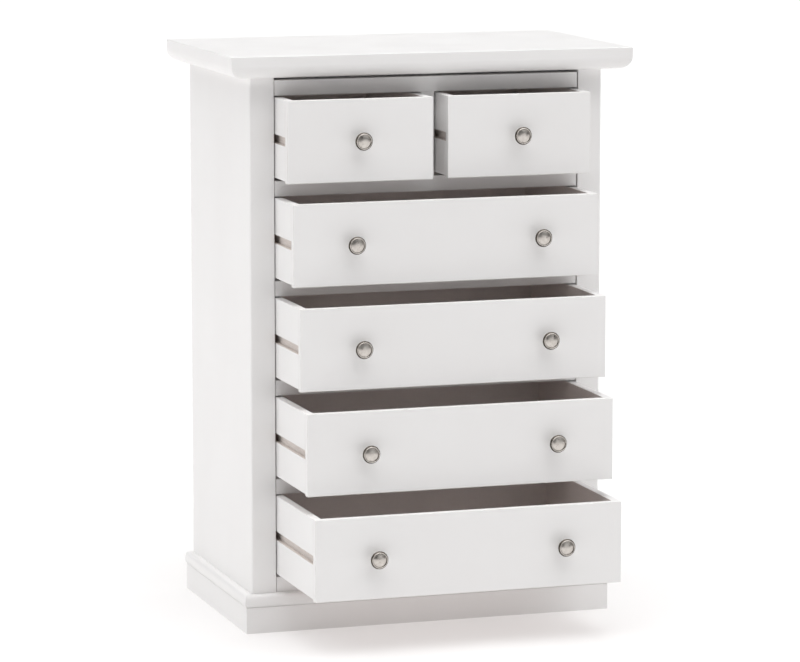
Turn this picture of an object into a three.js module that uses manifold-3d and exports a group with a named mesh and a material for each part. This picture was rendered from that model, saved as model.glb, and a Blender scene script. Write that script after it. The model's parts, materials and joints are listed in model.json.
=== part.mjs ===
// A white painted chest of drawers: two small drawers over four wide ones, in a carcass with a
// thick round-edged top board and a moulded plinth. The drawers run on wooden runners in grooves.
//
// Millimetres, +Z up. The front faces -Y and +X is the viewer's right. Inside the chest, y = 0 is
// the front face of the posts. Every drawer is modelled pulled out to the place where it rests.

import * as THREE from 'three';
import { mergeVertices } from 'three/addons/utils/BufferGeometryUtils.js';
import Module from 'manifold-3d';

const wasm = await Module();
wasm.setup();

// ---------------------------------------------------------------- driving dimensions

const height = 1105;
const carcass = { width: 706, depth: 428 };
const top = { thickness: 42, overhang: 47, edgeRadius: 24 };
const sidePanelThickness = 18;
const post = { width: 48, depth: 30, arris: 5 };
const backPanel = { thickness: 4, setIn: 6, floorGap: 12 };

const rail = { height: 29.5, depth: 55, setBack: 2 };
const rowPitch = 190.5;
const rowCount = 5;
const dividerWidth = 28;

const plinth = { height: 74, out: 14.5, noseOut: 17.5, noseHeight: 61, ledgeOut: 10 };
const quirk = { bottom: 50, top: 52, depth: 1.5 };
const mitreGap = 0.15;

const runner = { thickness: 16, engagement: 8, battenHeight: 36, back: 390, uprightDepth: 36 };
const groove = { height: 17, depth: 9 };

const drawerGap = { side: 2, edge: 2.5 };
const front = { thickness: 14 };
const box = {
  sideThickness: 15,
  backThickness: 12,
  baseThickness: 5,
  depth: 372,
  sideStep: 4,
  baseRise: 4,
  backDrop: 10,
};

const knob = { radius: 17, projection: 27, headDepth: 9.5, stemRadius: 6, footRadius: 8, spacing: 370 };
const bolt = { radius: 2, headRadius: 4.5, headDepth: 2.5, holeRadius: 2.5 };

// How far each drawer stands out of the chest, from the small ones down to the lowest.
const pulledOut = { upperLeft: 81, upperRight: 73, second: 119, third: 163, fourth: 205, lowest: 254 };

// ---------------------------------------------------------------- worked out from those

const topUnderside = height - top.thickness;
const openingHalf = carcass.width / 2 - post.width;
const openingHeight = rowPitch - rail.height;
const frontHeight = openingHeight - 2 * drawerGap.edge;
const wideFront = 2 * (openingHalf - drawerGap.side);
const smallOpening = openingHalf - dividerWidth / 2;
const smallFront = smallOpening - 2 * drawerGap.side;
const smallCentre = dividerWidth / 2 + smallOpening / 2;
const panelInner = carcass.width / 2 - sidePanelThickness;
const backPanelFront = carcass.depth - backPanel.setIn - backPanel.thickness;
const railTop = (row) => plinth.height + rail.height + row * rowPitch;
const runnerHeight = (row) => railTop(row) + drawerGap.edge + frontHeight / 2;
const tongueReach = drawerGap.side + runner.engagement;

// ---------------------------------------------------------------- materials

const paint = (color) => new THREE.MeshStandardMaterial({ color, roughness: 0.45, metalness: 0 });
const white = () => paint(0xf1efed);
const insideWood = () => new THREE.MeshStandardMaterial({ color: 0xede6e1, roughness: 0.7, metalness: 0 });
const hardboard = () => new THREE.MeshStandardMaterial({ color: 0xcfc8c0, roughness: 0.8, metalness: 0 });
const beech = () => new THREE.MeshStandardMaterial({ color: 0xcbb596, roughness: 0.65, metalness: 0 });
const nickel = () => new THREE.MeshStandardMaterial({ color: 0xb9b2a8, roughness: 0.3, metalness: 1 });

// ---------------------------------------------------------------- geometry helpers

const [xAxis, yAxis, zAxis] = [
  new THREE.Vector3(1, 0, 0),
  new THREE.Vector3(0, 1, 0),
  new THREE.Vector3(0, 0, 1),
];
const sectionYZ = new THREE.Matrix4().makeBasis(yAxis, zAxis, xAxis);
const sectionXZ = new THREE.Matrix4().makeBasis(xAxis, zAxis, yAxis.clone().negate());

function outline(points) {
  return new THREE.Shape(points.map(([u, v]) => new THREE.Vector2(u, v)));
}

// A section drawn in Y and Z, extruded from x = from to x = to.
function alongX(shape, from, to, curveSegments = 1) {
  const options = { depth: to - from, bevelEnabled: false, curveSegments };
  return new THREE.ExtrudeGeometry(shape, options).applyMatrix4(sectionYZ).translate(from, 0, 0);
}

// A section drawn in X and Z, extruded from y = from to y = to.
function alongY(shape, from, to, curveSegments = 1) {
  const options = { depth: to - from, bevelEnabled: false, curveSegments };
  return new THREE.ExtrudeGeometry(shape, options).applyMatrix4(sectionXZ).translate(0, to, 0);
}

function block([x0, y0, z0], [x1, y1, z1]) {
  const geometry = new THREE.BoxGeometry(x1 - x0, y1 - y0, z1 - z0);
  return geometry.translate((x0 + x1) / 2, (y0 + y1) / 2, (z0 + z1) / 2);
}

// The same block on the left (side -1) or the right (side 1) of the middle plane.
function sideBlock(side, [x0, y0, z0], [x1, y1, z1]) {
  const [low, high] = side > 0 ? [x0, x1] : [-x1, -x0];
  return block([low, y0, z0], [high, y1, z1]);
}

function solid(geometry) {
  const bare = geometry.clone();
  bare.deleteAttribute('normal');
  bare.deleteAttribute('uv');
  const merged = mergeVertices(bare, 1e-4);
  return new wasm.Manifold(
    new wasm.Mesh({
      numProp: 3,
      vertProperties: new Float32Array(merged.attributes.position.array),
      triVerts: new Uint32Array(merged.index.array),
    }),
  );
}

function geometryOf(manifold) {
  const mesh = manifold.getMesh();
  const geometry = new THREE.BufferGeometry();
  geometry.setAttribute('position', new THREE.BufferAttribute(mesh.vertProperties, 3));
  geometry.setIndex(new THREE.BufferAttribute(mesh.triVerts, 1));
  const faceted = geometry.toNonIndexed();
  faceted.computeVertexNormals();
  return faceted;
}

function joined(geometries) {
  return geometryOf(geometries.map(solid).reduce((whole, piece) => whole.add(piece)));
}

function add(parent, name, geometry, material) {
  const mesh = new THREE.Mesh(geometry, material);
  mesh.name = name;
  parent.add(mesh);
}

const sides = [
  { name: 'left', side: -1 },
  { name: 'right', side: 1 },
];

// ---------------------------------------------------------------- carcass

// The board's lower edge is rounded at the front and both ends, and its back edge is square.
function topBoard() {
  const halfWidth = carcass.width / 2 + top.overhang;
  const r = top.edgeRadius;
  const ends = new THREE.Shape();
  ends.moveTo(-halfWidth, height);
  ends.lineTo(-halfWidth, topUnderside + r);
  ends.absarc(-halfWidth + r, topUnderside + r, r, Math.PI, 1.5 * Math.PI, false);
  ends.absarc(halfWidth - r, topUnderside + r, r, 1.5 * Math.PI, 2 * Math.PI, false);
  ends.lineTo(halfWidth, height);
  const depthwise = new THREE.Shape();
  depthwise.moveTo(-top.overhang, height);
  depthwise.lineTo(-top.overhang, topUnderside + r);
  depthwise.absarc(-top.overhang + r, topUnderside + r, r, Math.PI, 1.5 * Math.PI, false);
  depthwise.lineTo(carcass.depth, topUnderside);
  depthwise.lineTo(carcass.depth, height);
  const lengthwise = solid(alongX(depthwise, -halfWidth, halfWidth, 8));
  return geometryOf(solid(alongY(ends, -top.overhang, carcass.depth, 8)).intersect(lengthwise));
}

// A post's outer front corner is eased for its whole height.
function cornerPost(side) {
  const outer = (side * carcass.width) / 2;
  const inner = side * openingHalf;
  const section = new THREE.Shape();
  section.moveTo(inner, 0);
  section.lineTo(inner, post.depth);
  section.lineTo(outer, post.depth);
  section.lineTo(outer, post.arris);
  section.quadraticCurveTo(outer, 0, outer - side * post.arris, 0);
  return new THREE.ExtrudeGeometry(section, { depth: topUnderside, bevelEnabled: false, curveSegments: 4 });
}

// Its front edge is the divider between the two upper rails. Behind the top rail it reaches up to
// the top board, and it runs back to the back panel.
function partition() {
  const [bottom, railUnder] = [railTop(rowCount - 1), railTop(rowCount) - rail.height];
  const railBack = rail.setBack + rail.depth;
  const profile = outline([
    [rail.setBack, bottom],
    [backPanelFront, bottom],
    [backPanelFront, topUnderside],
    [railBack, topUnderside],
    [railBack, railUnder],
    [rail.setBack, railUnder],
  ]);
  return alongX(profile, -dividerWidth / 2, dividerWidth / 2);
}

function addCarcass(chest) {
  add(chest, 'top_board', topBoard(), white());
  for (const { name, side } of sides) {
    const panelEnds = [[panelInner, post.depth, 0], [carcass.width / 2, carcass.depth, topUnderside]];
    add(chest, `${name}_side_panel`, sideBlock(side, ...panelEnds), white());
    add(chest, `${name}_front_post`, cornerPost(side), white());
  }
  for (let row = 0; row <= rowCount; row += 1) {
    const low = [-openingHalf, rail.setBack, railTop(row) - rail.height];
    const high = [openingHalf, rail.setBack + rail.depth, railTop(row)];
    add(chest, `front_rail_${row + 1}`, block(low, high), white());
  }
  add(chest, 'centre_partition', partition(), white());
  const backLow = [-panelInner, backPanelFront, backPanel.floorGap];
  const backHigh = [panelInner, backPanelFront + backPanel.thickness, topUnderside];
  add(chest, 'back_panel', block(backLow, backHigh), hardboard());
}

// ---------------------------------------------------------------- plinth

// The skirting's section: u is the distance out from the carcass, v the height above the floor.
function plinthSection() {
  const section = new THREE.Shape();
  section.moveTo(0, 0);
  section.lineTo(plinth.out, 0);
  section.lineTo(plinth.out, quirk.bottom);
  section.lineTo(plinth.out - quirk.depth, quirk.bottom);
  section.lineTo(plinth.out - quirk.depth, quirk.top);
  section.lineTo(plinth.out, quirk.top);
  section.quadraticCurveTo(plinth.noseOut, quirk.top, plinth.noseOut, plinth.noseHeight);
  section.quadraticCurveTo(plinth.noseOut, plinth.height, plinth.ledgeOut, plinth.height);
  section.lineTo(0, plinth.height);
  return section;
}

// One length of skirting that faces out and starts at the given corner of the carcass. A mitred
// end is cut at 45 degrees, so the board is longer at its outer face than against the carcass.
function skirting(out, start, length, mitred) {
  const options = { depth: length, bevelEnabled: false, curveSegments: 5 };
  const geometry = new THREE.ExtrudeGeometry(plinthSection(), options);
  const position = geometry.attributes.position;
  for (let i = 0; i < position.count; i += 1) {
    const along = position.getZ(i);
    const overhang = position.getX(i) - mitreGap;
    if (along === 0 && mitred.start) position.setZ(i, -overhang);
    if (along === length && mitred.end) position.setZ(i, length + overhang);
  }
  const lengthwise = new THREE.Vector3().crossVectors(out, zAxis);
  return geometry.applyMatrix4(new THREE.Matrix4().makeBasis(out, zAxis, lengthwise).setPosition(start));
}

function addPlinth(chest) {
  const half = carcass.width / 2;
  const [forward, leftward] = [yAxis.clone().negate(), xAxis.clone().negate()];
  const [frontLeft, frontRight] = [new THREE.Vector3(-half, 0, 0), new THREE.Vector3(half, 0, 0)];
  const backRight = new THREE.Vector3(half, carcass.depth, 0);
  const boards = {
    plinth_front: skirting(forward, frontRight, carcass.width, { start: true, end: true }),
    plinth_left: skirting(leftward, frontLeft, carcass.depth, { start: true, end: false }),
    plinth_right: skirting(xAxis, backRight, carcass.depth, { start: false, end: true }),
  };
  for (const [name, geometry] of Object.entries(boards)) add(chest, name, geometry, white());
}

// ---------------------------------------------------------------- runners

// A frame on each side panel: one rear upright that carries a batten with a tongue for each row.
function runnerFrame(side) {
  const pieces = [];
  const halfBatten = runner.battenHeight / 2;
  const halfTongue = runner.thickness / 2;
  for (let row = 0; row < rowCount; row += 1) {
    const z = runnerHeight(row);
    const battenLow = [openingHalf, post.depth, z - halfBatten];
    pieces.push(sideBlock(side, battenLow, [panelInner, runner.back, z + halfBatten]));
    const tongueLow = [openingHalf - tongueReach, post.depth, z - halfTongue];
    pieces.push(sideBlock(side, tongueLow, [panelInner, runner.back, z + halfTongue]));
  }
  const uprightLow = [openingHalf, backPanelFront - runner.uprightDepth, runnerHeight(0) - halfBatten];
  const uprightHigh = [panelInner, backPanelFront, runnerHeight(rowCount - 1) + halfBatten];
  pieces.push(sideBlock(side, uprightLow, uprightHigh));
  return joined(pieces);
}

function addRunners(chest) {
  const z = runnerHeight(rowCount - 1);
  const low = [dividerWidth / 2, post.depth, z - runner.thickness / 2];
  const high = [dividerWidth / 2 + tongueReach, runner.back, z + runner.thickness / 2];
  for (const { name, side } of sides) {
    add(chest, `${name}_runner_frame`, runnerFrame(side), beech());
    add(chest, `${name}_partition_runner`, sideBlock(side, low, high), beech());
  }
}

// ---------------------------------------------------------------- drawers

// Inside a drawer's own group, x = 0 is its middle, y = 0 the outer face of its front, and z = 0
// the front's lower edge.

function drawerFront(width, knobPlaces) {
  const half = width / 2;
  const slab = solid(block([-half, 0, 0], [half, front.thickness, frontHeight]));
  const drill = (x) => {
    const hole = new THREE.CylinderGeometry(bolt.holeRadius, bolt.holeRadius, 2 * front.thickness, 12);
    return solid(hole.translate(x, front.thickness / 2, frontHeight / 2));
  };
  return geometryOf(knobPlaces.reduce((whole, x) => whole.subtract(drill(x)), slab));
}

// A side with the stopped groove that slides over its runner.
function drawerSide(side, width) {
  const outer = (side * width) / 2;
  const inner = outer - side * box.sideThickness;
  const floor = outer - side * groove.depth;
  const middle = frontHeight / 2;
  const profile = outline([
    [inner, box.sideStep],
    [outer, box.sideStep],
    [outer, middle - groove.height / 2],
    [floor, middle - groove.height / 2],
    [floor, middle + groove.height / 2],
    [outer, middle + groove.height / 2],
    [outer, frontHeight],
    [inner, frontHeight],
  ]);
  return alongY(profile, front.thickness, front.thickness + box.depth);
}

// The knob and its bolt are turned about the Y axis. The outline runs from the middle of the domed
// face over the rim, back along the stem to the foot, then along the bolt to its head inside.
function knobGeometry() {
  const r = knob.radius;
  const face = -knob.projection;
  const headBack = face + knob.headDepth;
  const inside = front.thickness;
  const points = [
    [0, face],
    [0.55 * r, face + 0.75],
    [0.83 * r, face + 2.5],
    [0.95 * r, face + 1.5],
    [r, face + 3.5],
    [0.95 * r, face + 6],
    [0.6 * r, headBack],
    [knob.stemRadius, headBack + 4.5],
    [knob.stemRadius, -3],
    [knob.footRadius, 0],
    [bolt.radius, 0],
    [bolt.radius, inside],
    [bolt.headRadius, inside],
    [bolt.headRadius, inside + bolt.headDepth],
    [0, inside + bolt.headDepth],
  ];
  return new THREE.LatheGeometry(points.map(([radius, y]) => new THREE.Vector2(radius, y)), 20);
}

function addDrawer(chest, { name, row, centre, width, out, knobs }) {
  const drawer = new THREE.Group();
  drawer.position.set(centre, -out, railTop(row) + drawerGap.edge);
  chest.add(drawer);

  const innerHalf = width / 2 - box.sideThickness;
  const [behindFront, boxEnd] = [front.thickness, front.thickness + box.depth];
  const baseTop = box.sideStep + box.baseRise + box.baseThickness;
  add(drawer, `${name}_front`, drawerFront(width, knobs.map((k) => k.x)), white());
  for (const { name: hand, side } of sides) {
    add(drawer, `${name}_${hand}_side`, drawerSide(side, width), white());
  }
  const backLow = [-innerHalf, boxEnd - box.backThickness, baseTop];
  const backHigh = [innerHalf, boxEnd, frontHeight - box.backDrop];
  add(drawer, `${name}_back`, block(backLow, backHigh), insideWood());
  const baseLow = [-innerHalf, behindFront, baseTop - box.baseThickness];
  add(drawer, `${name}_base`, block(baseLow, [innerHalf, boxEnd, baseTop]), insideWood());
  for (const { name: knobName, x } of knobs) {
    const geometry = knobGeometry().translate(x, 0, frontHeight / 2);
    add(drawer, knobName, geometry, nickel());
  }
}

function addDrawers(chest) {
  const upper = [
    { name: 'upper_left_drawer', side: -1, out: pulledOut.upperLeft },
    { name: 'upper_right_drawer', side: 1, out: pulledOut.upperRight },
  ];
  for (const { name, side, out } of upper) {
    const knobs = [{ name: `${name}_knob`, x: 0 }];
    addDrawer(chest, { name, row: rowCount - 1, centre: side * smallCentre, width: smallFront, out, knobs });
  }
  const wide = ['lowest', 'fourth', 'third', 'second'];
  wide.forEach((place, row) => {
    const name = `${place}_drawer`;
    const knobs = sides.map(({ name: hand, side }) => ({
      name: `${name}_${hand}_knob`,
      x: (side * knob.spacing) / 2,
    }));
    addDrawer(chest, { name, row, centre: 0, width: wideFront, out: pulledOut[place], knobs });
  });
}

// ---------------------------------------------------------------- the whole chest

// The origin is on the floor, in the middle of the space that the chest and its drawers take up.
const frontReach = pulledOut.lowest + knob.projection;
const chest = new THREE.Group();
chest.position.y = (frontReach - carcass.depth) / 2;
addCarcass(chest);
addPlinth(chest);
addRunners(chest);
addDrawers(chest);

export default chest;
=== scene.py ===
import json
import math

import bmesh
import bpy
from mathutils import Matrix, Vector


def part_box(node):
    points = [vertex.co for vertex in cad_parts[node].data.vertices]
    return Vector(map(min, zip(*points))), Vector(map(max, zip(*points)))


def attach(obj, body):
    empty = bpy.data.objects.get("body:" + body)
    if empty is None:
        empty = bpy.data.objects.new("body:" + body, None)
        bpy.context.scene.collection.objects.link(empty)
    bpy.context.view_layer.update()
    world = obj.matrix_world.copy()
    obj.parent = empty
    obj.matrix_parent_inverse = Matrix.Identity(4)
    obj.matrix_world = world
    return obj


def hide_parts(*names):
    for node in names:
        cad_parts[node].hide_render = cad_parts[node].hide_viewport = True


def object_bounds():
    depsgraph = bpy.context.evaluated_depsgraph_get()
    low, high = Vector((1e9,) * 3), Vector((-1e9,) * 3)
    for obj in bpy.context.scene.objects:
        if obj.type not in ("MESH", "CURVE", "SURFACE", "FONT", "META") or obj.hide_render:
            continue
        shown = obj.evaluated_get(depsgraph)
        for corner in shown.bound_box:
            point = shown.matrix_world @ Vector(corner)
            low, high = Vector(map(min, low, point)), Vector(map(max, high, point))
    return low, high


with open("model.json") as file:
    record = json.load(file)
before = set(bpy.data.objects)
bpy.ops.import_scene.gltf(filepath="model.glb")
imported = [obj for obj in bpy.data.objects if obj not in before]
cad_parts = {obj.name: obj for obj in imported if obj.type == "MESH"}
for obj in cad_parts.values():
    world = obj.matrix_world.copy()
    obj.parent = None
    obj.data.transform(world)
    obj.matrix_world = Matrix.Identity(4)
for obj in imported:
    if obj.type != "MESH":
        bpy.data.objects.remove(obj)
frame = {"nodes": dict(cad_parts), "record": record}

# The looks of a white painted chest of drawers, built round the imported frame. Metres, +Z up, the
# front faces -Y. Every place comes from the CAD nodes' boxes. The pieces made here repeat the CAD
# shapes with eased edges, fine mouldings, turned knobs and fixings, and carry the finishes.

cad_low, cad_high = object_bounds()

# ---------------------------------------------------------------- sizes, in metres

MM = 0.001
eased = {
    "drawer": 1.2 * MM, "frame": 0.8 * MM, "thin": 0.4 * MM, "moulding": 0.3 * MM, "joint": 0.2 * MM,
}
ease_steps = 3
ease_from_angle = math.radians(30)
smooth_up_to = math.radians(35)

top_edge = {"lower_round": 24 * MM, "upper_round": 1.5 * MM, "corner": 2 * MM, "steps": 14}
post_arris = {"width": 5 * MM, "steps": 8}
rail_end_gap = 1.6 * MM
mitre_gap = 0.15 * MM
plinth = {
    "out": 14.5 * MM, "nose_out": 17.5 * MM, "nose_height": 61 * MM, "ledge_out": 10 * MM, "steps": 9,
}
quirk = {"bottom": 50 * MM, "top": 52 * MM, "front_depth": 1.5 * MM, "side_depth": 0.4 * MM}
runner = {"batten": 36 * MM, "tongue": 16 * MM, "upright": 36 * MM}
groove = {"height": 17 * MM, "depth": 9 * MM}
screw = {"radius": 3 * MM, "rise": 0.6 * MM, "front_inset": 30 * MM, "back_inset": 90 * MM, "steps": 16}
pin = {"radius": 1.6 * MM, "rise": 0.7 * MM, "pitch": 120 * MM, "inset": 9 * MM, "steps": 16}

# The finish of a band on turned metal: plain satin nickel, or near-black nickel that paints shade and dark
# reflection onto rims, grooves and cross recesses.
BRIGHT, PAINTED_SHADE = 0, 1

# A knob's sizes as shares of its radius. Drops go down from its face and rises up from the drawer.
knob_steps = {"around": 64, "face": 8, "bead": 8, "back": 8, "painted_shade_back": 5, "stem": 6}
knob_shape = {
    "dome": 0.74, "dome_drop": 0.15, "trough_start": 0.75, "trough_end": 0.77, "trough_drop": 0.23,
    "bead": 0.055, "bead_drop": 0.06, "shoulder_drop": 0.3,
    "back": 0.6, "back_drop": 0.62, "back_bend": 0.97, "back_bend_drop": 0.58,
    "waist": 0.375, "waist_drop": 0.9, "waist_bend_drop": 0.64, "waist_rise": 0.2,
    "foot": 0.5, "foot_rise": 0.03, "foot_bend": 0.39, "foot_bend_rise": 0.04,
}

# Screw and bolt heads: shares of the head's radius and height, and how far the cross is pinched.
cross_pinch = 0.7
bolt = {"share_of_knob": 0.28, "steps": 24}
bolt_rim = [(0.0, 0.0), (1.0, 0.0), (1.0, 0.25), (0.8, 0.3), (0.76, 0.75), (0.6, 1.0)]
bolt_cross = [(0.48, 1.0), (0.36, 0.4)]
bolt_cross_depth = 0.35
screw_rim = [(0.0, 0.0), (1.0, 0.0), (0.85, 1.0)]
screw_cross = [(0.6, 1.0), (0.5, 0.0)]
screw_cross_depth = 0.0

view = {"azimuth": -18.01, "elevation": 8.52, "distance": 7.836, "lens": 179.3, "sensor": 36.0}
aim_from_centre = Vector((0.0073, 0.1199, -0.0143))

# Each light's side of the chest as an azimuth and an elevation, and its strength.
skies = {"left_sky": (-101, 76, 2.35), "right_sky": (60, 67, 2.05)}
panels = {"left_panel": (-100, 4, 42.0), "front_panel": (18, 9, 11.5)}
sky_spread = math.radians(80)
sky_distance = 4.0
panel_distance = 5.0
panel_size = (3.0, 1.5)
floor_half_size = 40.0
backdrop = {"seen": 1.0, "lighting": 0.05}

# ---------------------------------------------------------------- camera


def direction(azimuth, elevation):
    """The unit vector from the chest towards a viewer, from two angles in degrees."""
    around, up = math.radians(azimuth), math.radians(elevation)
    return Vector((math.sin(around) * math.cos(up), -math.cos(around) * math.cos(up), math.sin(up)))


def add_camera():
    data = bpy.data.cameras.new("camera")
    data.sensor_width = view["sensor"]
    data.lens = view["lens"]
    camera = bpy.data.objects.new("camera", data)
    bpy.context.scene.collection.objects.link(camera)
    towards = direction(view["azimuth"], view["elevation"])
    camera.location = (cad_low + cad_high) / 2 + aim_from_centre + towards * view["distance"]
    camera.rotation_mode = "QUATERNION"
    camera.rotation_quaternion = (-towards).to_track_quat("-Z", "Y")
    bpy.context.scene.camera = camera


add_camera()

# ---------------------------------------------------------------- finishes


class Finish:
    """A material being made: a Principled surface, patterned in the object's own coordinates."""

    def __init__(self, name):
        self.material = bpy.data.materials.new(name)
        self.material.use_nodes = True
        self.tree = self.material.node_tree
        self.surface = self.tree.nodes["Principled BSDF"]
        self.place = self.tree.nodes.new("ShaderNodeTexCoord").outputs["Object"]

    def join(self, value, socket):
        """Sets a socket to a number or colour, or links it to another node's output."""
        if isinstance(value, bpy.types.NodeSocket):
            self.tree.links.new(value, socket)
        elif isinstance(value, tuple):
            socket.default_value = (*value, 1.0)
        else:
            socket.default_value = value

    def noise(self, scale, detail=2.0, stretch=(1.0, 1.0, 1.0)):
        mapping = self.tree.nodes.new("ShaderNodeMapping")
        mapping.inputs["Scale"].default_value = stretch
        self.join(self.place, mapping.inputs["Vector"])
        noise = self.tree.nodes.new("ShaderNodeTexNoise")
        noise.inputs["Scale"].default_value = scale
        noise.inputs["Detail"].default_value = detail
        self.join(mapping.outputs["Vector"], noise.inputs["Vector"])
        return noise.outputs["Fac"]

    def rescaled(self, value, low, high, from_low=0.3, from_high=0.7):
        """A pattern value brought from one range into another, and held inside it."""
        node = self.tree.nodes.new("ShaderNodeMapRange")
        self.join(value, node.inputs["Value"])
        node.inputs["From Min"].default_value = from_low
        node.inputs["From Max"].default_value = from_high
        node.inputs["To Min"].default_value = low
        node.inputs["To Max"].default_value = high
        return node.outputs["Result"]

    def product(self, first, second):
        node = self.tree.nodes.new("ShaderNodeMath")
        node.operation = "MULTIPLY"
        self.join(first, node.inputs[0])
        self.join(second, node.inputs[1])
        return node.outputs["Value"]

    def mixed(self, share, first, second):
        """The first colour where share is 0 and the second where it is 1."""
        node = self.tree.nodes.new("ShaderNodeMix")
        node.data_type = "RGBA"
        sockets = {socket.identifier: socket for socket in node.inputs}
        self.join(share, sockets["Factor_Float"])
        self.join(first, sockets["A_Color"])
        self.join(second, sockets["B_Color"])
        return next(socket for socket in node.outputs if socket.identifier == "Result_Color")

    def marked(self, name):
        """The value of a face attribute, such as the mark on eased edges."""
        node = self.tree.nodes.new("ShaderNodeAttribute")
        node.attribute_name = name
        return node.outputs["Fac"]

    def bumps(self, height, distance, under=None):
        node = self.tree.nodes.new("ShaderNodeBump")
        node.inputs["Distance"].default_value = distance
        self.join(height, node.inputs["Height"])
        if under is not None:
            self.join(under, node.inputs["Normal"])
        return node.outputs["Normal"]

    def put(self, **values):
        """Sets or links the surface's sockets, with _ for the spaces in their names."""
        for name, value in values.items():
            self.join(value, self.surface.inputs[name.replace("_", " ")])


def white_paint():
    """Sprayed satin lacquer: a faint cloudiness, a fine orange peel, and edges rubbed a little thin."""
    finish = Finish("white_paint")
    cloud = finish.rescaled(finish.noise(5.0, detail=3.0), 0.0, 1.0)
    coat = finish.mixed(cloud, (0.852, 0.841, 0.836), (0.868, 0.86, 0.855))
    patches = finish.rescaled(finish.noise(45.0, detail=4.0), 0.0, 0.5)
    rubbed = finish.product(finish.marked("arris"), patches)
    wiped = finish.rescaled(finish.noise(16.0, detail=4.0, stretch=(1.0, 1.0, 0.35)), 0.36, 0.46)
    peel = finish.bumps(finish.noise(420.0), 0.012 * MM)
    finish.put(
        Base_Color=finish.mixed(rubbed, coat, (0.72, 0.69, 0.66)),
        Roughness=wiped,
        Normal=finish.bumps(finish.noise(30.0, detail=1.0), 0.05 * MM, under=peel),
    )
    return finish.material


def beige_foil():
    """Pale printed foil on board: fine streaks along the drawer's depth over a slow change of tone."""
    finish = Finish("drawer_inside")
    slow = finish.rescaled(finish.noise(7.0), 0.0, 1.0)
    tone = finish.mixed(slow, (0.93, 0.865, 0.84), (0.95, 0.885, 0.86))
    streak = finish.rescaled(finish.noise(260.0, detail=4.0, stretch=(1.0, 0.03, 1.0)), 0.0, 0.45)
    worn = finish.product(finish.marked("arris"), finish.rescaled(finish.noise(60.0), 0.0, 0.7))
    printed = finish.mixed(streak, tone, (0.89, 0.82, 0.79))
    finish.put(
        Base_Color=finish.mixed(worn, printed, (0.95, 0.91, 0.88)),
        Roughness=finish.rescaled(finish.noise(90.0), 0.55, 0.68),
        Normal=finish.bumps(streak, 0.03 * MM),
    )
    return finish.material


def hardboard():
    """White-faced hardboard: a matt skin with pale brown fibres showing through."""
    finish = Finish("back_board")
    fibres = finish.rescaled(finish.noise(900.0, detail=3.0, stretch=(1.0, 1.0, 0.3)), 0.0, 0.6, 0.5, 0.75)
    slow = finish.rescaled(finish.noise(4.0), 0.0, 1.0)
    skin = finish.mixed(slow, (0.62, 0.575, 0.53), (0.69, 0.65, 0.61))
    face = finish.mixed(fibres, skin, (0.46, 0.38, 0.3))
    finish.put(
        Base_Color=finish.mixed(finish.marked("arris"), face, (0.4, 0.29, 0.2)),
        Roughness=finish.rescaled(finish.noise(120.0), 0.72, 0.86),
        Normal=finish.bumps(finish.noise(700.0, detail=3.0), 0.05 * MM),
    )
    return finish.material


def groove_shade_paint():
    """The runner grooves' finish: pale brown, darker and warmer than the white sides as painted shade in
    the groove, with fine lines along it as a cutter leaves.
    """
    finish = Finish("groove_painted_shade")
    lines = finish.rescaled(finish.noise(500.0, detail=3.0, stretch=(1.0, 0.1, 1.0)), 0.0, 1.0)
    finish.put(
        Base_Color=finish.mixed(lines, (0.68, 0.62, 0.585), (0.78, 0.735, 0.7)),
        Roughness=finish.rescaled(finish.noise(120.0), 0.7, 0.85),
        Normal=finish.bumps(lines, 0.05 * MM),
    )
    return finish.material


def beech():
    """Planed beech: long growth lines with short dark flecks along the runner."""
    finish = Finish("runner_wood")
    lines = finish.rescaled(finish.noise(110.0, detail=5.0, stretch=(1.0, 0.04, 1.0)), 0.0, 1.0)
    short = finish.noise(900.0, detail=1.0, stretch=(1.0, 0.12, 1.0))
    flecks = finish.rescaled(short, 0.0, 0.55, 0.58, 0.72)
    timber = finish.mixed(lines, (0.43, 0.28, 0.165), (0.58, 0.42, 0.27))
    flecked = finish.mixed(flecks, timber, (0.27, 0.16, 0.09))
    rubbed = finish.product(finish.marked("arris"), finish.rescaled(finish.noise(70.0), 0.0, 0.6))
    finish.put(
        Base_Color=finish.mixed(rubbed, flecked, (0.66, 0.52, 0.38)),
        Roughness=finish.rescaled(lines, 0.48, 0.62, 0.0, 1.0),
        Normal=finish.bumps(finish.noise(500.0, detail=3.0, stretch=(1.0, 0.08, 1.0)), 0.06 * MM),
    )
    return finish.material


def nickel(name, dull, bright, roughness):
    """Satin nickel plate with a fine grain, and with handling marks in its tone and gloss."""
    finish = Finish(name)
    smudge = finish.rescaled(finish.noise(160.0, detail=4.0), 0.0, 1.0)
    finish.put(
        Base_Color=finish.mixed(smudge, dull, bright),
        Metallic=1.0,
        Roughness=finish.rescaled(smudge, roughness - 0.05, roughness + 0.07, 0.0, 1.0),
        Normal=finish.bumps(finish.noise(2500.0, detail=2.0), 0.008 * MM),
    )
    return finish.material


def pale_floor():
    """A white floor that also glows a little, so that the chest's shadow on it stays faint."""
    finish = Finish("studio_floor")
    tone = finish.rescaled(finish.noise(0.6), 0.0, 1.0)
    finish.put(
        Base_Color=finish.mixed(tone, (0.5, 0.5, 0.5), (0.52, 0.52, 0.52)),
        Roughness=0.9,
        Emission_Color=(1.0, 0.965, 0.955),
        Emission_Strength=0.39,
    )
    return finish.material


paint = white_paint()
foil = beige_foil()
board = hardboard()
groove_painted_shade = groove_shade_paint()
wood = beech()
satin = nickel("knob_metal", (0.5, 0.465, 0.43), (0.66, 0.625, 0.585), 0.3)
# Near-black nickel for the knobs' grooves and rim backs and the screws' cross recesses: painted shade and
# painted dark reflection, not tarnish.
painted_shade_nickel = nickel("knob_metal_painted_shade", (0.07, 0.06, 0.05), (0.12, 0.105, 0.09), 0.45)

# ---------------------------------------------------------------- mesh tools


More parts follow.
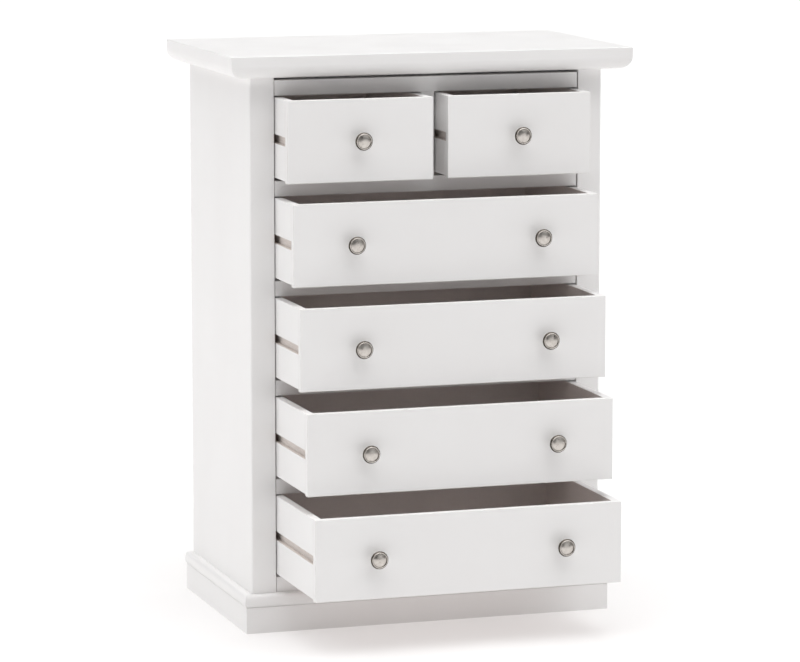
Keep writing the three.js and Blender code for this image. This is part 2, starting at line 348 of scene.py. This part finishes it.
def curve(start, bend, end, steps):
    """Points along a smooth curve from start to end that leans towards bend, without its start."""
    points = []
    for step in range(1, steps + 1):
        t = step / steps
        weights = ((1 - t) ** 2, 2 * t * (1 - t), t * t)
        points.append(tuple(sum(w * p[i] for w, p in zip(weights, (start, bend, end))) for i in (0, 1)))
    return points


def arc(centre, radius, start, end, steps):
    """Points round an arc, from the start angle to the end angle in degrees."""
    angles = [math.radians(start + (end - start) * step / steps) for step in range(steps + 1)]
    return [(centre[0] + radius * math.cos(a), centre[1] + radius * math.sin(a)) for a in angles]


def loft(rings):
    """A closed skin over rings with equal numbers of corners, with a flat cap at each end."""
    mesh = bmesh.new()
    rows = [[mesh.verts.new(corner) for corner in ring] for ring in rings]
    for near, far in zip(rows, rows[1:]):
        for i, corner in enumerate(near):
            after = (i + 1) % len(near)
            mesh.faces.new((corner, near[after], far[after], far[i]))
    mesh.faces.new(rows[0])
    mesh.faces.new(rows[-1])
    bmesh.ops.recalc_face_normals(mesh, faces=mesh.faces)
    return mesh


def prism(outline, axis, start, end):
    """A section run along an axis. The section's two numbers are the other two axes, in order."""
    put = {"X": lambda u, v, w: (w, u, v), "Y": lambda u, v, w: (u, w, v), "Z": lambda u, v, w: (u, v, w)}
    return loft([[put[axis](u, v, w) for u, v in outline] for w in (start, end)])


def slab(low, high):
    corners = [(low.y, low.z), (high.y, low.z), (high.y, high.z), (low.y, high.z)]
    return prism(corners, "X", low.x, high.x)


def ease(mesh, width):
    """Rounds the outward edges and marks the rounded faces, so that a finish can find them."""
    arris = mesh.faces.layers.float.new("arris")
    sharp = [e for e in mesh.edges if e.is_convex and e.calc_face_angle(0) > ease_from_angle]
    made = bmesh.ops.bevel(
        mesh, geom=sharp, offset=width, offset_type="OFFSET", segments=ease_steps, profile=0.5,
        affect="EDGES", clamp_overlap=True,
    )
    for face in made["faces"]:
        face[arris] = 1.0
    return mesh


def turned(mesh, outline, place, steps):
    """Adds a shape turned about its own Z axis. Each row of the outline is a radius, a height, the
    finish of the band that follows, and how far the ring is pinched into a cross."""
    rings = []
    for radius, height, _, pinch in outline:
        ring = []
        for step in range(steps if radius > 0 else 1):
            around = 2 * math.pi * step / steps
            r = radius * (1 - pinch * math.sqrt(abs(math.sin(2 * around))))
            corner = Vector((r * math.cos(around), r * math.sin(around), height))
            ring.append(mesh.verts.new(place @ corner))
        rings.append(ring)
    faces = []
    for (near, far), (_, _, finish, _) in zip(zip(rings, rings[1:]), outline):
        for step in range(steps):
            after = (step + 1) % steps
            near_edge = [near[step % len(near)], near[after % len(near)]]
            far_edge = [far[after % len(far)], far[step % len(far)]]
            face = mesh.faces.new(list(dict.fromkeys(near_edge + far_edge)))
            face.material_index = finish
            faces.append(face)
    bmesh.ops.recalc_face_normals(mesh, faces=faces)


def banded(points, finish, pinch=0.0):
    """Rows of a turned outline that share one finish."""
    return [(radius, height, finish, pinch) for radius, height in points]


def facing(point, outward):
    """A place whose own Z axis points along outward."""
    return Matrix.Translation(point) @ Vector(outward).to_track_quat("Z", "X").to_matrix().to_4x4()


def add_piece(name, mesh, body, finishes, stands_for=()):
    data = bpy.data.meshes.new(name)
    for face in mesh.faces:
        face.smooth = True
    mesh.to_mesh(data)
    mesh.free()
    data.set_sharp_from_angle(angle=smooth_up_to)
    for finish in finishes:
        data.materials.append(finish)
    piece = bpy.data.objects.new(name, data)
    bpy.context.scene.collection.objects.link(piece)
    even = piece.modifiers.new("even_normals", "WEIGHTED_NORMAL")
    even.keep_sharp = True
    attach(piece, body)
    if stands_for:
        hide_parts(*stands_for)
    return piece


def stand_in(node, mesh, body, finishes):
    """A finished piece shown in place of one CAD node."""
    return add_piece(f"{node}_finished", mesh, body, finishes, [node])


# ---------------------------------------------------------------- carcass

top_low, top_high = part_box("top_board")
post_low, post_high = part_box("left_front_post")
back_low, back_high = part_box("back_panel")
opening_half = -post_high.x
panel_inner = -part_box("left_side_panel")[1].x
front_y = post_low.y


def top_ring(inset, height, back_inset):
    """The top board's outline at one height, with small rounded corners."""
    left, right = top_low.x + inset, top_high.x - inset
    near, far = top_low.y + inset, top_high.y - back_inset
    r = top_edge["corner"]
    centres = [(right - r, far - r), (left + r, far - r), (left + r, near + r), (right - r, near + r)]
    ring = []
    for turn, centre in enumerate(centres):
        ring += arc(centre, r, 90 * turn, 90 * turn + 90, ease_steps)
    return [(x, y, height) for x, y in ring]


def top_board():
    """Its lower edge is rounded at the front and both ends, and its back edge is square."""
    small, large = top_edge["upper_round"], top_edge["lower_round"]
    rings = []
    for across, up in arc((small, top_high.z - small), small, 90, 180, ease_steps):
        rings.append(top_ring(across, up, across))
    for across, up in arc((large, top_low.z + large), large, 180, 270, top_edge["steps"]):
        rings.append(top_ring(across, up, 0))
    return loft(rings)


def corner_post(node):
    low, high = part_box(node)
    outer, inner = (low.x, high.x) if low.x < 0 else (high.x, low.x)
    width = post_arris["width"]
    start = (outer, low.y + width)
    end = (outer - math.copysign(width, outer - inner), low.y)
    eased_corner = curve(start, (outer, low.y), end, post_arris["steps"])
    outline = [(inner, low.y), (inner, high.y), (outer, high.y), start, *eased_corner]
    return ease(prism(outline, "Z", low.z, high.z), eased["joint"])


def partition():
    """Its front edge is the divider, and behind the top rail it reaches up to the top board."""
    low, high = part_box("centre_partition")
    rail_low, rail_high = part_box("front_rail_6")
    outline = [
        (low.y, low.z), (high.y, low.z), (high.y, high.z),
        (rail_high.y, high.z), (rail_high.y, rail_low.z), (low.y, rail_low.z),
    ]
    return ease(prism(outline, "X", low.x, high.x), eased["frame"])


def add_carcass():
    stand_in("top_board", top_board(), "carcass", [paint])
    for side in ("left", "right"):
        post = f"{side}_front_post"
        stand_in(post, corner_post(post), "carcass", [paint])
        panel = f"{side}_side_panel"
        stand_in(panel, ease(slab(*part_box(panel)), eased["joint"]), "carcass", [paint])
    shorter = Vector((rail_end_gap, 0, 0))
    for rail in [node for node in frame["nodes"] if node.startswith("front_rail_")]:
        low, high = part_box(rail)
        mesh = ease(slab(low + shorter, high - shorter), eased["frame"])
        stand_in(rail, mesh, "carcass", [paint])
    stand_in("centre_partition", partition(), "carcass", [paint])
    back = ease(slab(back_low, back_high), eased["thin"])
    stand_in("back_panel", back, "carcass", [board])
    add_piece("back_panel_pins", back_pins(), "carcass", [satin])


def spread(start, end, pitch):
    """Places from start to end, evenly spaced and at most a pitch apart."""
    count = math.ceil((end - start) / pitch)
    return [start + (end - start) * i / count for i in range(count + 1)]


def back_pins():
    """Round pin heads along the back panel's edges, where it is nailed to the sides and the top."""
    left, right = back_low.x + pin["inset"], back_high.x - pin["inset"]
    bottom, top = back_low.z + pin["inset"], back_high.z - pin["inset"]
    heights = spread(bottom, top, pin["pitch"])
    places = [(x, z) for x in (left, right) for z in heights]
    places += [(x, z) for x in spread(left, right, pin["pitch"])[1:-1] for z in (top, bottom)]
    dome = [(pin["radius"] * math.cos(a), pin["rise"] * math.sin(a)) for a in (0.0, 0.5, 1.0)]
    outline = banded([(0.0, 0.0), *dome, (0.0, pin["rise"])], BRIGHT)
    mesh = bmesh.new()
    for x, z in places:
        turned(mesh, outline, facing((x, back_high.y, z), (0, 1, 0)), pin["steps"])
    return mesh


# ---------------------------------------------------------------- plinth


def plinth_section(height, quirk_depth):
    """Distance out from the carcass and height above the floor, round the board's section."""
    nose = (plinth["nose_out"], plinth["nose_height"])
    return [
        (0.0, 0.0),
        (plinth["out"], 0.0),
        (plinth["out"], quirk["bottom"]),
        (plinth["out"] - quirk_depth, quirk["bottom"]),
        (plinth["out"] - quirk_depth, quirk["top"]),
        (plinth["out"], quirk["top"]),
        *curve((plinth["out"], quirk["top"]), (plinth["nose_out"], quirk["top"]), nose, plinth["steps"]),
        *curve(nose, (plinth["nose_out"], height), (plinth["ledge_out"], height), plinth["steps"]),
        (0.0, height),
    ]


def skirting(start, out, length, quirk_depth, mitred_start, mitred_end):
    """A board of the plinth that faces out, cut at 45 degrees at each mitred end."""
    along = out.cross(Vector((0, 0, 1)))
    section = plinth_section(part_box("plinth_front")[1].z, quirk_depth)
    rings = []
    for end, growth, mitred in ((0.0, -1, mitred_start), (length, 1, mitred_end)):
        ring = []
        for across, up in section:
            reach = end + growth * (across - mitre_gap) if mitred else end
            ring.append(start + out * across + Vector((0, 0, up)) + along * reach)
        rings.append(ring)
    return ease(loft(rings), eased["moulding"])


def add_plinth():
    left, right, back_y = post_low.x, -post_low.x, top_high.y
    front, side = quirk["front_depth"], quirk["side_depth"]
    boards = {
        "plinth_front": ((right, front_y, 0), (0, -1, 0), right - left, front, True, True),
        "plinth_left": ((left, front_y, 0), (-1, 0, 0), back_y - front_y, side, True, False),
        "plinth_right": ((right, back_y, 0), (1, 0, 0), back_y - front_y, side, False, True),
    }
    for node, (start, out, *rest) in boards.items():
        stand_in(node, skirting(Vector(start), Vector(out), *rest), "carcass", [paint])


# ---------------------------------------------------------------- runners


def runner_heights():
    """The middle of each row of drawers, from the lowest to the upper ones."""
    rows = ("lowest_drawer", "fourth_drawer", "third_drawer", "second_drawer", "upper_left_drawer")
    return [sum((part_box(f"{row}_front")[0].z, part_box(f"{row}_front")[1].z)) / 2 for row in rows]


def runner_bar(side, height, front, back):
    """A batten with a tongue along its middle, run from front to back."""
    wide, narrow = runner["batten"] / 2, runner["tongue"] / 2
    tip = -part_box("left_runner_frame")[1].x
    lower = [(tip, -narrow), (opening_half, -narrow), (opening_half, -wide), (panel_inner, -wide)]
    outline = lower + [(x, -z) for x, z in reversed(lower)]
    return prism([(side * x, height + z) for x, z in outline], "Y", front, back)


def merge(meshes):
    """One mesh that holds several closed shapes."""
    whole = bmesh.new()
    for mesh in meshes:
        part = bpy.data.meshes.new("part")
        mesh.to_mesh(part)
        mesh.free()
        whole.from_mesh(part)
        bpy.data.meshes.remove(part)
    return whole


def runner_frame(side):
    """Five runners screwed to a rear upright."""
    low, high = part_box("left_runner_frame")
    upright_front = high.y - runner["upright"]
    bars = [ease(runner_bar(side, z, low.y, upright_front), eased["frame"]) for z in runner_heights()]
    x0, x1 = sorted((side * opening_half, side * panel_inner))
    upright = slab(Vector((x0, upright_front, low.z)), Vector((x1, high.y, high.z)))
    return merge([*bars, ease(upright, eased["frame"])])


def head_outline(radius, height, rim, cross, cross_depth):
    """A round head with a cross recess, from its rim to its middle. The recess is near-black nickel, as
    painted shade.
    """
    scaled = [[(across * radius, up * height) for across, up in rows] for rows in (rim, cross)]
    middle = [(0.0, cross_depth * height)]
    return banded(scaled[0], BRIGHT) + banded(scaled[1], PAINTED_SHADE, cross_pinch) + banded(middle, PAINTED_SHADE)


def screw_heads(side):
    """Two screw heads in each runner, above and below its tongue."""
    low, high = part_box("left_runner_frame")
    offset = (runner["batten"] + runner["tongue"]) / 4
    outline = head_outline(screw["radius"], screw["rise"], screw_rim, screw_cross, screw_cross_depth)
    places = ((low.y + screw["front_inset"], offset), (high.y - screw["back_inset"], -offset))
    mesh = bmesh.new()
    for height in runner_heights():
        for y, up in places:
            place = facing((side * opening_half, y, height + up), (-side, 0, 0))
            turned(mesh, outline, place, screw["steps"])
    return mesh


def add_runners():
    for name, side in (("left", -1), ("right", 1)):
        stand_in(f"{name}_runner_frame", runner_frame(side), "carcass", [wood])
        add_piece(f"{name}_runner_screws", screw_heads(side), "carcass", [satin, painted_shade_nickel])
        node = f"{name}_partition_runner"
        stand_in(node, ease(slab(*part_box(node)), eased["frame"]), "carcass", [wood])


# ---------------------------------------------------------------- drawers


def drawer_side(node, front_node):
    """White outside, a darker finish in the groove that slides over its runner, which paints the groove's
    shade, and foil inside.
    """
    low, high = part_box(node)
    front_low, front_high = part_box(front_node)
    inward = 1 if node.endswith("left_side") else -1
    outer, inner = (low.x, high.x) if inward > 0 else (high.x, low.x)
    floor = outer + inward * groove["depth"]
    middle = (front_low.z + front_high.z) / 2
    bottom, top = middle - groove["height"] / 2, middle + groove["height"] / 2
    outline = [
        (inner, low.z), (outer, low.z), (outer, bottom), (floor, bottom),
        (floor, top), (outer, top), (outer, high.z), (inner, high.z),
    ]
    mesh = ease(prism(outline, "Y", low.y, high.y), eased["thin"])
    mesh.normal_update()
    for face in mesh.faces:
        centre = face.calc_center_median()
        in_groove = abs(centre.z - middle) < groove["height"] / 2 + eased["joint"]
        if abs(centre.x - inner) < eased["thin"] / 2:
            face.material_index = 1
        # Faces in the groove take the darker finish, which paints the shade in the groove.
        elif in_groove and abs(face.normal.y) < 0.5 and abs(centre.x - outer) > eased["thin"]:
            face.material_index = 2
    return mesh


def knob_outline(radius, height):
    """From the middle of the domed face, over a groove, a bead and a chamfer, to the foot. The groove and
    the chamfer behind the bead carry painted shade.
    """
    k = {name: share * radius for name, share in knob_shape.items()}
    shares = [step / knob_steps["face"] for step in range(knob_steps["face"] + 1)]
    face = [(k["dome"] * share, height - k["dome_drop"] * share**2) for share in shares]
    trough = [(k[edge], height - k["trough_drop"]) for edge in ("trough_start", "trough_end")]
    bead_centre = (k["trough_end"] + k["bead"], height - k["bead_drop"] - k["bead"])
    bead = arc(bead_centre, k["bead"], 180, 0, knob_steps["bead"])
    shoulder = (radius, height - k["shoulder_drop"])
    back_bend = (k["back_bend"], height - k["back_bend_drop"])
    back_end = (k["back"], height - k["back_drop"])
    back = curve(shoulder, back_bend, back_end, knob_steps["back"])
    waist_bend = (k["waist"], height - k["waist_bend_drop"])
    waist_top = (k["waist"], height - k["waist_drop"])
    neck = curve(back_end, waist_bend, waist_top, knob_steps["stem"])
    waist_bottom = (k["waist"], k["waist_rise"])
    foot_bend = (k["foot_bend"], k["foot_bend_rise"])
    flare = curve(waist_bottom, foot_bend, (k["foot"], k["foot_rise"]), knob_steps["stem"])
    foot = [(k["foot"], 0.0), (0.0, 0.0)]
    painted_shade_back = knob_steps["painted_shade_back"]
    # The groove and the rim's back are near-black nickel: painted shade and painted dark reflection.
    return (
        banded(face[:-1], BRIGHT) + banded([face[-1], *trough], PAINTED_SHADE) + banded(bead[:-1], BRIGHT)
        + banded([bead[-1], shoulder, *back[:painted_shade_back]], PAINTED_SHADE)
        + banded([*back[painted_shade_back:], *neck, waist_bottom, *flare, *foot], BRIGHT)
    )


def knob(node, front_node):
    """A turned knob on the drawer's front, and the head of its bolt inside."""
    low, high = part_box(node)
    front_low, front_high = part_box(front_node)
    x, z = (low.x + high.x) / 2, (low.z + high.z) / 2
    radius = (high.x - low.x) / 2
    mesh = bmesh.new()
    outline = knob_outline(radius, front_low.y - low.y)
    turned(mesh, outline, facing((x, front_low.y, z), (0, -1, 0)), knob_steps["around"])
    head_radius, head_height = bolt["share_of_knob"] * radius, high.y - front_high.y
    head = head_outline(head_radius, head_height, bolt_rim, bolt_cross, bolt_cross_depth)
    turned(mesh, head, facing((x, front_high.y, z), (0, 1, 0)), bolt["steps"])
    return mesh


def add_drawer(drawer, nodes):
    front_node = f"{drawer}_front"
    for node in nodes:
        if node.endswith("_knob"):
            stand_in(node, knob(node, front_node), drawer, [satin, painted_shade_nickel])
        elif node.endswith("_side"):
            side = drawer_side(node, front_node)
            stand_in(node, side, drawer, [paint, foil, groove_painted_shade])
        elif node.endswith("_front"):
            front = ease(slab(*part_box(node)), eased["drawer"])
            stand_in(node, front, drawer, [paint])
        else:
            stand_in(node, ease(slab(*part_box(node)), eased["thin"]), drawer, [foil])


# ---------------------------------------------------------------- studio


def add_floor():
    mesh = bmesh.new()
    bmesh.ops.create_grid(mesh, x_segments=8, y_segments=8, size=floor_half_size)
    data = bpy.data.meshes.new("floor")
    mesh.to_mesh(data)
    mesh.free()
    data.materials.append(pale_floor())
    floor = bpy.data.objects.new("floor", data)
    bpy.context.scene.collection.objects.link(floor)


def add_light(name, kind, towards, distance, strength):
    """A light that shines on the chest from that side of it, and that no camera sees."""
    data = bpy.data.lights.new(name, kind)
    data.energy = strength
    light = bpy.data.objects.new(name, data)
    bpy.context.scene.collection.objects.link(light)
    light.location = (cad_low + cad_high) / 2 + towards * distance
    light.rotation_mode = "QUATERNION"
    light.rotation_quaternion = (-towards).to_track_quat("-Z", "Y")
    light.visible_camera = False
    return data


def add_backdrop(seen, lighting):
    """A white backdrop that is seen at one strength and lights the chest at another."""
    world = bpy.data.worlds.new("studio")
    world.use_nodes = True
    nodes, links = world.node_tree.nodes, world.node_tree.links
    background = nodes["Background"]
    background.inputs["Color"].default_value = (1.0, 1.0, 1.0, 1.0)
    strength = nodes.new("ShaderNodeMath")
    strength.operation = "MULTIPLY_ADD"
    links.new(nodes.new("ShaderNodeLightPath").outputs["Is Camera Ray"], strength.inputs[0])
    strength.inputs[1].default_value = seen - lighting
    strength.inputs[2].default_value = lighting
    links.new(strength.outputs["Value"], background.inputs["Strength"])
    bpy.context.scene.world = world


def add_studio():
    add_floor()
    add_backdrop(backdrop["seen"], backdrop["lighting"])
    bpy.context.scene.view_settings.view_transform = "Standard"
    for name, (azimuth, elevation, strength) in skies.items():
        sky = add_light(name, "SUN", direction(azimuth, elevation), sky_distance, strength)
        sky.angle = sky_spread
    for name, (azimuth, elevation, strength) in panels.items():
        panel = add_light(name, "AREA", direction(azimuth, elevation), panel_distance, strength)
        panel.shape = "RECTANGLE"
        panel.size, panel.size_y = panel_size


# ---------------------------------------------------------------- the whole chest

add_carcass()
add_plinth()
add_runners()
for body, nodes in frame["record"]["behaviour"]["bodies"].items():
    if body != "carcass":
        add_drawer(body, nodes)
add_studio()
